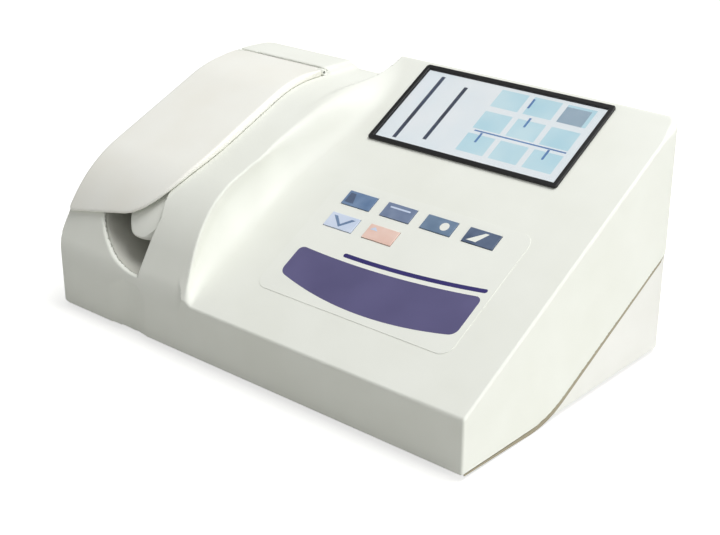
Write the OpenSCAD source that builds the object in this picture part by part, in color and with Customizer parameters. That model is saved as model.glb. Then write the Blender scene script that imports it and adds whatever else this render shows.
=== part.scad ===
/* [Body] */
// Overall width of the instrument
body_w = 396; // [380:1:430]
// Overall depth of the instrument
body_d = 240; // [232:1:262]
// Height of the front apron above the underside
front_h = 39; // [36:1:44]
// Slope of the control panel in degrees
panel_angle = 29.3; // [27:0.1:31]
// Wall thickness of the moulded shells
wall = 3; // [2.6:0.1:3.6]
// Height of the rubber feet
foot_h = 4; // [3:0.5:7]

/* [Tower] */
// Width of the tower at the left of the console
tower_w = 150; // [146:1:160]
// Height of the upright part of the tower front
tower_upright = 40; // [38:1:42]
// Lean of the tower front above its upright part in degrees
tower_lean = 32; // [31:0.5:33]
// Length of the leaning front up to where it would meet the sloping top
tower_rise = 66.4; // [65.6:0.2:67]
// Radius between the leaning front and the sloping top
tower_r = 110; // [104:1:114]
// Slope of the tower top in degrees
tower_slope = 23; // [22:0.1:24]
// Length of the tower behind its sloping top
deck_len = 90; // [87:1:93]
// Radius that turns the slope into the level deck
deck_r = 110; // [100:1:118]
// Radius of the waisted flank beside the panel
waist_r = 145; // [140:1:150]
// Depth of the waist
waist_depth = 18; // [16:1:20]

/* [Lid] */
// Width of the lid
lid_w = 97; // [94:1:99]
// Thickness of the lid
lid_t = 5; // [4.4:0.1:5.6]
// Height of the lid's front lip above the underside, at the middle of the lid
lip_z = 77; // [75:1:79]
// Tilt of the lip across the lid in degrees
lip_tilt = 10; // [8:0.5:11]
// Distance from the hinge axis to the back
hinge_from_back = 37; // [35:1:39]

/* [Niche] */
// Radius of the rounded sampling niche
niche_r = 58; // [56:1:59]
// Depth of the niche
niche_d = 64; // [62:1:67]
// Radius of the probe turret
turret_r = 19; // [17.5:0.5:20]

/* [Panel] */
// Width of the display frame
screen_w = 168; // [162:1:174]
// Height of the display frame along the slope
screen_h = 83; // [79:1:86]
// Border of the display frame
screen_border = 4; // [3.5:0.5:5.5]
// Width of one key
key_w = 26; // [23:0.5:28]
// Height of one key
key_h = 13; // [11:0.5:14.5]
// Spacing of the key columns
key_pitch = 36; // [34:0.5:38]
// Travel of a key
key_travel = 0.6; // [0.4:0.1:0.8]

/* [Hidden] */
$fn = 48;
slack = 0.3;
arc_proud = 0.2;
big = 600;
cos_p = cos(panel_angle);
x_left = -body_w / 2;
x_right = body_w / 2;
y_front = -body_d / 2;
y_back = body_d / 2;
z_floor = foot_h + wall;
tower_right = x_left + tower_w;
waist_x = tower_right - waist_depth + waist_r;
waist_half = sqrt(pow(waist_r, 2) - pow(waist_r - waist_depth, 2));
waist_y = y_front + waist_half - 2;
console_x = (tower_right + x_right) / 2;

// Tower outline: ends and centre of the round front, end of the slope, centre of the deck round
slope_end = body_d - deck_len;
round_t = tower_r * tan((90 - tower_slope - tower_lean) / 2);
p0_y = (tower_rise - round_t) * sin(tower_lean);
p0_z = tower_upright + (tower_rise - round_t) * cos(tower_lean);
p1_y = tower_rise * sin(tower_lean) + round_t * cos(tower_slope);
p1_z = tower_upright + tower_rise * cos(tower_lean) + round_t * sin(tower_slope);
c1_y = p1_y + tower_r * sin(tower_slope);
c1_z = p1_z - tower_r * cos(tower_slope);
p2_z = p1_z + (slope_end - p1_y) * tan(tower_slope);
c2_y = slope_end + deck_r * sin(tower_slope);
c2_z = p2_z - deck_r * cos(tower_slope);
deck_z = c2_z + deck_r;

// Seam between the housings, as distance from the front and height above the underside
seam_rise_len = 148;
seam_start = body_d - seam_rise_len;
seam_angle = 27.5;
seam_r = 90;
seam_gap = 2.4;
seam_inset = 0.6;
seam_t = seam_r * tan(seam_angle / 2);
wall_start = seam_start + 8;
base_top = body_d * tan(seam_angle);

// Lid
lid_x0 = x_left + 1;
lid_x1 = lid_x0 + lid_w;
lip_corner_r = 40;
lip_corner_x = lid_x1 - lip_corner_r;
lip_corner_z = lip_z + (lid_w / 2 - lip_corner_r) * tan(lip_tilt) + lip_corner_r / cos(lip_tilt);
hinge_y = y_back - hinge_from_back;
hinge_z = foot_h + deck_z + slack + lid_t / 2;
hinge_r = lid_t / 2 - 0.05;
hinge_pin_r = 1;
pin_clear = 0.05;
knuckle_l = 7;
hinge_gap = 1.3;
slot_w = 70;
mouth_x0 = lid_x0 + 16;
mouth_x1 = lid_x1 - 6;
mouth_y0 = y_front + 68;
mouth_y1 = hinge_y - 9;

// Niche and probe
niche_x = lid_x1 + 5;
niche_z = foot_h + 102.6;
niche_right = lid_x1 + 10;
niche_top = foot_h + 97;
liner_t = 2.5;
turret_x = lid_x1 - 20;
turret_y = y_front + 39;
turret_z = foot_h + 64;
turret_edge = 4;
probe_r = 0.8;
probe_z0 = turret_z - 9;
probe_z1 = turret_z + 18;
plate_x = niche_x - 5;
plate_w = 18;
plate_z0 = foot_h + 53;
plate_z1 = foot_h + 86;
plate_t = 3;
plate_travel = 3;
plate_y = y_front + niche_d - 5;
stem_w = 7;
stem_z = 12;
switch_y = y_front + niche_d + 9;

// Panel pieces, in panel coordinates: x across, s up the slope, n outward
panel_len = body_d / cos_p;
screen_x = console_x - 9.5;
screen_s = panel_len - 6.8 - screen_h / 2;
screen_t = 1.8;
glass_lap = 2;
glass_w = screen_w - 2 * screen_border + 2 * glass_lap;
glass_h = screen_h - 2 * screen_border + 2 * glass_lap;
glass_t = 1.8;
glass_top = 0.5;
module_rim = 3;
module_t = 6;
overlay_w = 170;
overlay_h = 107;
overlay_x = console_x;
overlay_s0 = 36;
overlay_s = overlay_s0 + overlay_h / 2;
overlay_t = 0.8;
overlay_sink = 0.5;
overlay_r = 9;
key_s = [129, 107];
key_x0 = overlay_x - overlay_w / 2 + 27;
key_list = [for (r = [0, 1]) for (c = [0 : (r == 0 ? 3 : 1)]) [key_x0 + c * key_pitch, key_s[r]]];
key_proud = 0.9;
key_flange = 1;
key_flange_t = 1.2;
key_deep = wall + slack + key_flange_t;
dome_h = 1.4;
dome_r = 3;
keyboard_n = key_deep + key_travel + dome_h + 0.05;
board_t = 1.6;
keyboard_w = 150;
keyboard_h = 52;
keyboard_x = key_x0 + 1.5 * key_pitch;
keyboard_s = 118;
post_r = 3;
post_in = 5;

// Inner boards and boxes
post_h = 6;
board_z = z_floor + post_h;
side_room = 18;
psu_w = 104;
psu_d = 42;
psu_h = 38;
psu_gap = 6.4;
psu_slots = 10;
slot_pitch = 8.5;

// Rear panel and what it carries
rear_t = 2;
base_back = y_back - seam_inset - wall;
rear_y = base_back - rear_t;
rear_x1 = x_right - side_room;
rear_x0 = rear_x1 - 212;
rear_z0 = foot_h + 13;
rear_z1 = foot_h + 66;
rear_lap = 4;
inlet_x = rear_x1 - 28;
inlet_z = foot_h + 40;
inlet_w = 27;
inlet_h = 20;
inlet_d = 15;
psu_x = rear_x1 - psu_w / 2;
psu_y = rear_y - inlet_d - psu_gap - psu_d / 2;
main_x0 = console_x - 70;
main_x1 = rear_x1;
main_y0 = y_front + 36;
main_y1 = psu_y - psu_d / 2 - 11;
rocker_x = rear_x1 - 66;
rocker_w = 12;
rocker_h = 19;
rocker_tilt = 9;
rocker_axis_y = base_back - 3.5;
serial_x = rear_x1 - 108;
pin_pitch = 2.8;
data_x = rear_x1 - 144;
port_z = foot_h + 36;
fan_x = rear_x1 - 184;
fan_z = foot_h + 40;
fan_size = 40;
fan_d = 10;
fan_r = 18;
waste_x = x_left + 48;
waste_z = foot_h + 30;

// Optics, pump and printer in the tower
beam_x = tower_right - 24;
beam_z = foot_h + 46;
wheel_off = 18;
wheel_x = beam_x - wheel_off;
wheel_r = 24;
wheel_t = 4;
wheel_y = y_front + 152;
wheel_shaft_r = 1.5;
filter_r = 4;
filter_n = 8;
bed_t = 4;
bed_top = z_floor + bed_t;
cell_y = y_front + 119;
lamp_y = y_front + 182;
lamp_w = 24;
lamp_d = 28;
lamp_h = 54;
lamp_hole = 5;
socket_h = 20;
bulb_r = 4;
lens_y = y_front + 135;
detect_y = y_front + 102;
holder_h = 48;
pump_x = waste_x;
pump_z = foot_h + 66;
pump_motor_r = 18;
pump_head_r = 25;
pump_head_h = 14;
pump_bore_r = 20;
pump_port = pump_bore_r - 1.6;
roller_r = 4;
roller_pin_r = 1.5;
roller_ring = 13;
roller_n = 3;
pump_shaft_r = 2.5;
roll_x = (mouth_x0 + mouth_x1) / 2;
roll_y = hinge_y - 45;
frame_front = roll_y - 14;
pump_y = (y_front + niche_d + liner_t + frame_front) / 2 - 1.25;
roll_z = foot_h + deck_z - 41.75;
roll_r = 22;
roll_w = 57;
spindle_r = 4;
frame_t = 2;
frame_x0 = roll_x - roll_w / 2 - 4;
frame_x1 = roll_x + roll_w / 2 + 4;
frame_z0 = roll_z - roll_r - 6;
platen_r = 6;
platen_y = hinge_y + 6;
platen_z = foot_h + deck_z - wall - platen_r - 3;
platen_shaft_r = 2;
tube_r = 1.3;
bend_swell = 0.12;

// Fasteners and feet
foot_r = 8;
foot_in = 33;
foot_list = [for (sx = [-1, 1]) for (sy = [-1, 1]) [sx * (x_right - foot_in), sy * (y_back - foot_in + 6)]];
boss_r = 4.5;
boss_bore = 1.4;
screw_r = 1.35;
screw_head_r = 3;
screw_head_h = 2;
screw_l = 14;
boss_in = 11;
boss_list = [for (sx = [-1, 1]) for (sy = [-1, 1]) [sx * (x_right - boss_in), sy * (y_back - boss_in)]];

// Rounded rectangle with its own radius at each corner: front left, front right, back right, back left
module plan(w, d, r) {
    polygon([[-w / 2 + r[0], -d / 2], [w / 2 - r[1], -d / 2], [w / 2, -d / 2 + r[1]], [w / 2, d / 2 - r[2]],
        [w / 2 - r[2], d / 2], [-w / 2 + r[3], d / 2], [-w / 2, d / 2 - r[3]], [-w / 2, -d / 2 + r[0]]]);
    translate([-w / 2 + r[0], -d / 2 + r[0]]) circle(r[0]);
    translate([w / 2 - r[1], -d / 2 + r[1]]) circle(r[1]);
    translate([w / 2 - r[2], d / 2 - r[2]]) circle(r[2]);
    translate([-w / 2 + r[3], d / 2 - r[3]]) circle(r[3]);
}

// Upright prism of the body outline, grown or shrunk by off
module body_prism(off) {
    translate([0, 0, -10])
        linear_extrude(big)
            plan(body_w + 2 * off, body_d + 2 * off, [14 + off, 4 + off, 10 + off, 10 + off]);
}

// Turns a drawing of depth and height into a prism from x0 to x1
module side_prism(x0, x1) {
    translate([x0, y_front, foot_h])
        rotate([90, 0, 90])
            linear_extrude(x1 - x0)
                children();
}

// Side outline of the tower, grown or shrunk by off
module tower_side(off) {
    c = cos(tower_slope);
    s = sin(tower_slope);
    lc = cos(tower_lean);
    ls = sin(tower_lean);
    polygon([[-off, -50], [-off, tower_upright + off * tan(tower_lean / 2)],
        [p0_y - off * lc, p0_z + off * ls], [p1_y - off * s, p1_z + off * c],
        [slope_end - off * s, p2_z + off * c], [c2_y, deck_z + off], [big, deck_z + off], [big, -50]]);
    translate([c1_y, c1_z]) circle(tower_r + off + arc_proud, $fn = 96);
    translate([c2_y, c2_z]) circle(deck_r + off + arc_proud, $fn = 96);
}

// Upright cylinder that hollows the flank of the tower
module waist(r) {
    translate([waist_x, waist_y, -10]) cylinder(r = r, h = big, $fn = 96);
}

// Panel coordinates
module on_panel() {
    translate([0, y_front, foot_h + front_h]) rotate([panel_angle, 0, 0]) children();
}

// Half space under the panel with a rounded right edge, shrunk by off
module under_panel(off) {
    r = 6 + off;
    on_panel() {
        translate([-big / 2, -big, -big]) cube([big / 2 + x_right + off - r, 3 * big, big + off]);
        translate([-big / 2, -big, -big]) cube([big / 2 + x_right + off, 3 * big, big + off - r]);
        translate([x_right + off - r, -big, off - r]) rotate([-90, 0, 0]) cylinder(r = r, h = 3 * big);
    }
}

// Region above the seam: level at the front, then rising behind a rounded bend
module above_seam() {
    bend_y = seam_start + seam_t * cos(seam_angle);
    bend_z = seam_t * sin(seam_angle);
    difference() {
        polygon([[-20, 0], [seam_start, 0], [seam_start + big * cos(seam_angle), big * sin(seam_angle)],
            [-20, big]]);
        difference() {
            polygon([[seam_start - seam_t, -1], [seam_start, -1], [bend_y + 1, bend_z], [bend_y, bend_z],
                [seam_start - seam_t, 0]]);
            translate([seam_start - seam_t, seam_r]) circle(seam_r, $fn = 96);
        }
    }
}

// Tower with its waisted flank, grown or shrunk by off
module tower_form(off) {
    intersection() {
        body_prism(off);
        difference() {
            side_prism(x_left - 1, tower_right + off) tower_side(off);
            waist(waist_r - off);
        }
    }
}

// Console under the panel, reaching into the tower, grown or shrunk by off
module console_form(off) {
    intersection() {
        body_prism(off);
        under_panel(off);
        translate([tower_right - waist_depth - 20, -big, 0]) cube([big, 2 * big, big]);
    }
}

// Outer form of both housings together
module body_form(off) {
    tower_form(off);
    console_form(off);
}

module upper_housing() color("#f4f5ee") {
    difference() {
        union() {
            intersection() {
                difference() {
                    union() {
                        body_form(0);
                        raised_deck();
                    }
                    tower_form(-wall);
                    console_form(-wall);
                }
                side_prism(x_left - 5, x_right + 5) above_seam();
            }
            intersection() {
                body_form(0);
                for (p = boss_list) translate([p[0], p[1], z_floor]) cylinder(r = boss_r, h = big);
                translate([-big / 2, -big / 2, z_floor]) cube(big);
            }
            on_panel() key_posts();
            hinge_seats();
        }
        for (p = boss_list) translate([p[0], p[1], z_floor - 1]) cylinder(r = boss_bore, h = 22);
        on_panel() panel_openings();
        niche_cut(0);
        front_groove();
        translate([mouth_x0, mouth_y0, foot_h + 60]) cube([mouth_x1 - mouth_x0, mouth_y1 - mouth_y0, 130]);
        paper_slot();
        hinge_bores(hinge_pin_r);
    }
}

// Shallow upright groove below the niche, between tower front and flank
module front_groove() {
    translate([niche_x - 17, y_front, -1])
        linear_extrude(foot_h + 47)
            polygon([[-20, -1], [-20, 0], [0, 2.2], [5, 2], [16, 0], [16, -1]]);
}

// Deck behind the lid, level with the lid's top
module raised_deck() {
    intersection() {
        body_prism(0);
        side_prism(x_left - 1, lid_x1) tower_side(slack + lid_t);
        translate([x_left - 1, hinge_y + hinge_r + hinge_gap, 0]) cube([lid_w + 2, big, big]);
    }
}

// Knuckles on the deck that carry the hinge pins
module hinge_seats() {
    for (x = [lid_x0, lid_x1 - knuckle_l]) translate([x, hinge_y, hinge_z]) {
        rotate([0, 90, 0]) cylinder(r = hinge_r, h = knuckle_l);
        translate([0, 0, -hinge_r - slack]) cube([knuckle_l, hinge_r + hinge_gap + 1, hinge_r + slack]);
    }
}

module hinge_bores(r) {
    for (x = [lid_x0 - 1, lid_x1 - 2 * knuckle_l])
        translate([x, hinge_y, hinge_z]) rotate([0, 90, 0]) cylinder(r = r, h = 2 * knuckle_l + 1);
}

// Slot behind the lid where the paper comes out
module paper_slot() {
    translate([roll_x - slot_w / 2, hinge_y + hinge_r + 0.1, foot_h + deck_z - wall - 6])
        cube([slot_w, hinge_gap + 1.5, wall + 13]);
}

// Rounded niche under the front lip of the lid, grown by off
module niche_cut(off) {
    intersection() {
        translate([niche_x, y_front - 10, niche_z])
            rotate([-90, 0, 0]) cylinder(r = niche_r + off, h = niche_d + 10 + off, $fn = 96);
        translate([-big, -big, -off]) cube([big + niche_right + off, 2 * big, niche_top + 2 * off]);
    }
}

// Display opening, keypad recess and key holes
module panel_openings() {
    translate([screen_x, screen_s, 0]) slab(glass_w + 2 * slack, glass_h + 2 * slack, -wall - 1, 1);
    translate([overlay_x, overlay_s, -overlay_sink])
        linear_extrude(5) plan(overlay_w + slack, overlay_h + slack, [for (i = [0 : 3]) overlay_r]);
    for (k = key_list) translate([k[0], k[1], 0]) slab(key_w + 2 * slack, key_h + 2 * slack, -wall - 1, 1);
    key_post_list() translate([0, 0, -keyboard_n - 1]) cylinder(r = boss_bore, h = keyboard_n - 1);
}

// Plate centred in x and s, from n0 to n1
module slab(w, h, n0, n1) {
    translate([-w / 2, -h / 2, n0]) cube([w, h, n1 - n0]);
}

module key_post_list() {
    for (sx = [-1, 1]) for (ss = [-1, 1])
        translate([keyboard_x + sx * (keyboard_w / 2 - post_in), keyboard_s + ss * (keyboard_h / 2 - post_in), 0])
            children();
}

module key_posts() {
    key_post_list() translate([0, 0, -keyboard_n]) cylinder(r = post_r, h = keyboard_n - 1);
}

module base_tray() color("#f2f2ec") {
    difference() {
        union() {
            intersection() {
                body_prism(-wall - slack);
                translate([-big / 2, -big / 2, foot_h]) cube([big, big, wall]);
            }
            difference() {
                intersection() {
                    body_prism(-seam_inset);
                    translate([-big / 2, y_front + wall_start, foot_h]) cube([big, big, base_top]);
                }
                body_prism(-seam_inset - wall);
                translate([0, 0, -seam_gap]) side_prism(x_left - 5, x_right + 5) above_seam();
                rear_opening();
            }
            for (p = board_posts())
                translate([p[0], p[1], z_floor - 1]) cylinder(r = post_r, h = post_h + 1);
        }
        for (p = boss_list) translate([p[0], p[1], 0]) {
            cylinder(r = screw_r + 0.25, h = 30);
            cylinder(r = screw_head_r + slack, h = foot_h + screw_head_h - 0.5);
        }
        for (p = board_posts()) translate([p[0], p[1], z_floor]) cylinder(r = boss_bore, h = 20);
        for (i = [0 : 7]) translate([beam_x - 48 + i * 10, y_front + 130, 0]) cube([4, 46, 20]);
        translate([waste_x, y_back - 20, waste_z]) rotate([-90, 0, 0]) cylinder(r = 4, h = 40);
    }
}

function board_posts() = [for (x = [main_x0 + 6, main_x1 - 6]) for (y = [main_y0 + 6, main_y1 - 6]) [x, y]];

module rear_opening() {
    translate([rear_x0, base_back - 5, rear_z0]) cube([rear_x1 - rear_x0, 20, rear_z1 - rear_z0]);
}

module seam_strip() color("#a79f88") {
    difference() {
        intersection() {
            body_prism(-1.2);
            translate([-big / 2, y_front + wall_start, foot_h]) cube([big, big, base_top]);
            translate([0, 0, -seam_gap]) side_prism(x_left - 5, x_right + 5) above_seam();
        }
        body_prism(-wall);
        side_prism(x_left - 5, x_right + 5) above_seam();
    }
}

module rear_panel() color("#d9d9d4") {
    difference() {
        translate([rear_x0 - rear_lap, rear_y, rear_z0 - rear_lap])
            cube([rear_x1 - rear_x0 + 2 * rear_lap, rear_t, rear_z1 - rear_z0 + 2 * rear_lap]);
        translate([0, rear_y - 1, 0]) {
            translate([inlet_x, 0, inlet_z]) upright(inlet_w + slack, inlet_h + slack, rear_t + 2);
            translate([rocker_x, 0, inlet_z])
                upright(rocker_w + 2 + slack, rocker_h + 2 + slack, rear_t + 2);
            translate([serial_x, 0, port_z]) upright(19 + slack, 10 + slack, rear_t + 2);
            translate([data_x, 0, port_z]) upright(12.5 + slack, 11 + slack, rear_t + 2);
            for (a = [0 : 5]) translate([fan_x, 0, fan_z]) rotate([0, a * 60, 0])
                translate([10, 0, 0]) rotate([-90, 0, 0]) cylinder(r = 4, h = rear_t + 2);
            translate([fan_x, 0, fan_z]) rotate([-90, 0, 0]) cylinder(r = 3, h = rear_t + 2);
        }
    }
}

// Block standing on the rear panel plane, centred in x and z, reaching back from y 0 to d
module upright(w, h, d) {
    translate([-w / 2, 0, -h / 2]) cube([w, d, h]);
}

// Shell that follows the tower outline from the lip to the hinge
module lid_shell() {
    intersection() {
        difference() {
            side_prism(lid_x0, lid_x1) tower_side(slack + lid_t);
            side_prism(lid_x0 - 1, lid_x1 + 1) tower_side(slack);
        }
        translate([0, hinge_y, foot_h]) rotate([90, 0, 0]) linear_extrude(big) lid_front();
        body_prism(-0.5);
    }
}

module lid() color("#f8f8f0") {
    difference() {
        union() {
            lid_shell();
            translate([lid_x0, hinge_y, hinge_z]) rotate([0, 90, 0]) cylinder(r = hinge_r, h = lid_w);
        }
        for (x = [lid_x0 - 1, lid_x1 - knuckle_l - slack])
            translate([x, hinge_y - hinge_r - 0.5, hinge_z - 10]) cube([knuckle_l + 1 + slack, 20, 20]);
        hinge_bores(hinge_pin_r + pin_clear);
        translate([roll_x - 2.5, hinge_y - 11, hinge_z + hinge_r - 1]) cube([5, 9, 2]);
    }
}

// Outline of the lid from the front: tilted lip with a rounded right corner
module lid_front() {
    reach = lid_w / 2 + 2;
    polygon([[lid_x0 + lid_w / 2 - reach, lip_z - reach * tan(lip_tilt)],
        [lip_corner_x + lip_corner_r * sin(lip_tilt), lip_corner_z - lip_corner_r * cos(lip_tilt)],
        [lid_x1, lip_corner_z], [lid_x1, big], [lid_x0 + lid_w / 2 - reach, big]]);
    translate([lip_corner_x, lip_corner_z]) circle(lip_corner_r, $fn = 96);
}

module hinge_pins() color("#b8babd") {
    pin_l = 2 * knuckle_l - 1;
    for (x = [lid_x0, lid_x1 - pin_l])
        translate([x, hinge_y, hinge_z]) rotate([0, 90, 0]) cylinder(r = hinge_pin_r, h = pin_l);
}

module niche_liner() color("#e4e5de") {
    difference() {
        intersection() {
            niche_cut(liner_t);
            body_form(-wall - slack / 2);
        }
        niche_cut(0);
        turret_shape(slack);
        tube_channel();
        translate([plate_x, plate_y - 1, (plate_z0 + plate_z1) / 2]) upright(stem_w + 1, stem_z + 1, 30);
    }
}

// Rounded turret hanging in the niche, grown by off
module turret_shape(off) {
    intersection() {
        translate([turret_x, turret_y, turret_z]) rotate_extrude() {
            translate([0, turret_edge]) square([turret_r + off, 60]);
            translate([0, -off]) square([turret_r - turret_edge, 10]);
            translate([turret_r - turret_edge, turret_edge]) circle(turret_edge + off);
        }
        side_prism(x_left, tower_right) translate([c1_y, c1_z]) circle(tower_r - wall, $fn = 96);
        translate([-big / 2, y_front + 12, 0])
            cube([big, niche_d - 12 + liner_t + off * 10, niche_top + 10]);
    }
}

// Channel that leads the probe's tube out through the back of the niche
module tube_channel() {
    translate([turret_x, turret_y - 2 * tube_r, probe_z1])
        rotate([-90, 0, 0]) cylinder(r = tube_r + 0.1, h = 50);
}

module probe_turret() color("#f0f1ea") {
    difference() {
        turret_shape(0);
        translate([turret_x, turret_y, 0]) cylinder(r = probe_r, h = probe_z1);
        tube_channel();
        translate([plate_x, plate_y - 2, (plate_z0 + plate_z1) / 2])
            upright(plate_w + 2, plate_z1 - plate_z0 + 2, 30);
    }
}

module aspiration_probe() color("#b9bcc0") {
    difference() {
        translate([turret_x, turret_y, probe_z0]) cylinder(r = probe_r, h = probe_z1 - tube_r - pin_clear - probe_z0);
        translate([turret_x, turret_y, probe_z0 - 1]) cylinder(r = 0.4, h = big);
    }
}

module aspirate_plate() color("#d2d6d4") {
    zc = (plate_z0 + plate_z1) / 2;
    translate([plate_x, plate_y - plate_t, zc]) upright(plate_w, plate_z1 - plate_z0, plate_t);
    translate([plate_x, plate_y - 1, zc]) upright(stem_w, stem_z, switch_y - plate_y - plate_travel + 1);
}

module aspirate_switch() color("#30343a") {
    zc = (plate_z0 + plate_z1) / 2;
    translate([plate_x, switch_y, zc]) upright(20, 12, 9);
    translate([plate_x, switch_y + 3, zc]) translate([-5, 0, z_floor - zc]) cube([10, 6, zc - z_floor]);
}

module screen_bezel() color("#0d0d0f") {
    on_panel() translate([screen_x, screen_s, 0]) difference() {
        linear_extrude(screen_t) plan(screen_w, screen_h, [2.5, 2.5, 2.5, 2.5]);
        slab(screen_w - 2 * screen_border, screen_h - 2 * screen_border, -1, 5);
        slab(glass_w + 2 * slack, glass_h + 2 * slack, -1, glass_top);
    }
}

module touch_glass() color("#cfe3ea") {
    on_panel() translate([screen_x, screen_s, 0]) slab(glass_w, glass_h, glass_top - glass_t, glass_top);
}

module lcd_module() color("#2a2d33") {
    on_panel() translate([screen_x, screen_s, 0]) {
        slab(glass_w - 1, glass_h - 1, -wall - 0.5, glass_top - glass_t);
        slab(glass_w + 2 * module_rim, glass_h - 1, -wall - module_t, -wall);
    }
}

module keypad_overlay() color("#e8e9f2") {
    on_panel() difference() {
        translate([overlay_x, overlay_s, -overlay_sink])
            linear_extrude(overlay_t) plan(overlay_w, overlay_h, [for (i = [0 : 3]) overlay_r]);
        for (k = key_list) translate([k[0], k[1], 0]) slab(key_w + 2 * slack, key_h + 2 * slack, -5, 5);
    }
}

module key(i, shade) color(shade) {
    on_panel() translate([key_list[i][0], key_list[i][1], 0]) {
        slab(key_w, key_h, -key_deep, key_proud);
        slab(key_w + 2 * key_flange, key_h + 2 * key_flange, -key_deep, -wall - slack);
    }
}

module keypad_board() color("#2f6b4a") {
    on_panel() {
        difference() {
            translate([keyboard_x, keyboard_s, 0])
                slab(keyboard_w, keyboard_h, -keyboard_n - board_t, -keyboard_n);
            key_post_list() translate([0, 0, -keyboard_n - 5]) cylinder(r = boss_bore, h = 10);
        }
        for (k = key_list) translate([k[0], k[1], -keyboard_n]) cylinder(r = dome_r, h = dome_h);
    }
}

module main_board() color("#2d6a45") {
    difference() {
        translate([main_x0, main_y0, board_z]) cube([main_x1 - main_x0, main_y1 - main_y0, board_t]);
        for (p = board_posts()) translate([p[0], p[1], 0]) cylinder(r = boss_bore, h = 40);
    }
    translate([0, 0, board_z + board_t]) {
        translate([main_x0 + 55, main_y0 + 50, 0]) cube([24, 24, 3]);
        for (y = [58, 78]) translate([main_x0 + 95, main_y0 + y, 0]) cube([18, 12, 2]);
        translate([main_x0 + 15, main_y1 - 26, 0]) cube([40, 9, 9]);
        translate([main_x1 - 30, main_y1 - 58, 0]) cube([10, 40, 9]);
        for (i = [0 : 3]) translate([main_x0 + 21 + i * 12, main_y1 - 40, 0]) cylinder(r = 4, h = 12);
    }
}

module power_supply() color("#b6b9bb") {
    translate([psu_x - psu_w / 2, psu_y - psu_d / 2, z_floor]) difference() {
        cube([psu_w, psu_d, psu_h]);
        for (i = [0 : psu_slots - 1])
            translate([12 + i * slot_pitch, 8, psu_h - 2]) cube([3.5, psu_d - 16, 5]);
    }
}

module mains_inlet() color("#17181a") {
    translate([inlet_x, 0, inlet_z]) difference() {
        union() {
            translate([0, rear_y - inlet_d, 0]) upright(inlet_w, inlet_h, inlet_d + rear_t);
            translate([0, base_back, 0]) upright(inlet_w + 6, inlet_h + 6, 2.4);
        }
        translate([0, base_back - 12, 0]) upright(23, 15, 20);
    }
    for (p = [[-7, -1.5], [7, -1.5], [0, 2.5]])
        translate([inlet_x + p[0], base_back - 12.5, inlet_z + p[1]]) upright(2, 4, 9);
}

module switch_frame() color("#1b1c1e") {
    translate([rocker_x, 0, inlet_z]) difference() {
        union() {
            translate([0, rear_y - 12, 0]) upright(rocker_w + 2, rocker_h + 2, 12 + rear_t);
            translate([0, base_back, 0]) upright(rocker_w + 6, rocker_h + 6, 1.6);
        }
        translate([0, base_back - 11, 0]) upright(rocker_w + 0.6, rocker_h + 0.6, 20);
        translate([-rocker_w, rocker_axis_y, 0]) rotate([0, 90, 0]) cylinder(r = 1.2, h = 2 * rocker_w);
    }
}

module power_rocker() color("#232427") {
    translate([rocker_x, rocker_axis_y, inlet_z]) rotate([rocker_tilt, 0, 0]) {
        intersection() {
            translate([-rocker_w / 2, -5, -rocker_h / 2 + 1]) cube([rocker_w, 9, rocker_h - 2]);
            translate([0, 19, 0]) rotate([0, 90, 0])
                difference() {
                    translate([0, 0, -20]) cylinder(r = 24, h = 40);
                    translate([0, 0, -21]) cylinder(r = 15.5, h = 42);
                }
        }
        translate([-rocker_w / 2 - 1, 0, 0]) rotate([0, 90, 0]) cylinder(r = 1.1, h = rocker_w + 2);
    }
}

module serial_port() color("#a9acae") {
    translate([serial_x, 0, port_z]) difference() {
        union() {
            translate([0, rear_y - 8, 0]) upright(19, 10, 8 + rear_t + 1.6);
            translate([0, base_back, 0]) upright(30, 12, 0.8);
        }
        translate([0, base_back - 4, 0]) upright(16, 7.4, 10);
    }
    for (r = [0, 1]) for (i = [0 : 4 - r])
        translate([serial_x + (i - (4 - r) / 2) * pin_pitch, base_back - 4.5, port_z + (0.5 - r) * pin_pitch])
            rotate([-90, 0, 0]) cylinder(r = 0.5, h = 5);
}

module data_port() color("#a9acae") {
    translate([data_x, 0, port_z]) difference() {
        translate([0, rear_y - 12, 0]) upright(12.5, 11, 12 + rear_t + 1);
        translate([0, base_back - 8, 0]) upright(8.6, 7.6, 20);
    }
}

module fan_frame() color("#1d1e20") {
    translate([fan_x, rear_y - fan_d, fan_z]) {
        difference() {
            upright(fan_size, fan_size, fan_d);
            translate([0, -1, 0]) rotate([-90, 0, 0]) cylinder(r = fan_r + 1, h = fan_d + 2);
        }
        for (a = [45, 135]) rotate([0, a, 0]) upright(2 * fan_r + 3, 2.4, 1.6);
        rotate([-90, 0, 0]) cylinder(r = 1.2, h = fan_d - 2);
        rotate([-90, 0, 0]) cylinder(r = 7, h = 1.6);
    }
}

module fan_rotor() color("#2a2b2e") {
    translate([fan_x, rear_y - fan_d + 2, fan_z]) difference() {
        union() {
            rotate([-90, 0, 0]) cylinder(r = 8, h = fan_d - 3);
            for (i = [0 : 6]) rotate([0, i * 360 / 7, 0]) translate([7, 1, 0]) rotate([32, 0, 0])
                translate([0, 0, -0.6]) cube([fan_r - 7.6, fan_d - 5, 1.2]);
        }
        translate([0, -1, 0]) rotate([-90, 0, 0]) cylinder(r = 1.25, h = fan_d - 2);
    }
}

module optics_bed() color("#8f9498") {
    difference() {
        translate([beam_x - 34, detect_y - 6, z_floor]) cube([48, lamp_y + 16 - detect_y + 6, bed_t]);
        translate([beam_x - 30, wheel_y - 14, z_floor - 1]) cube([10, 8, 10]);
    }
}

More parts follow.
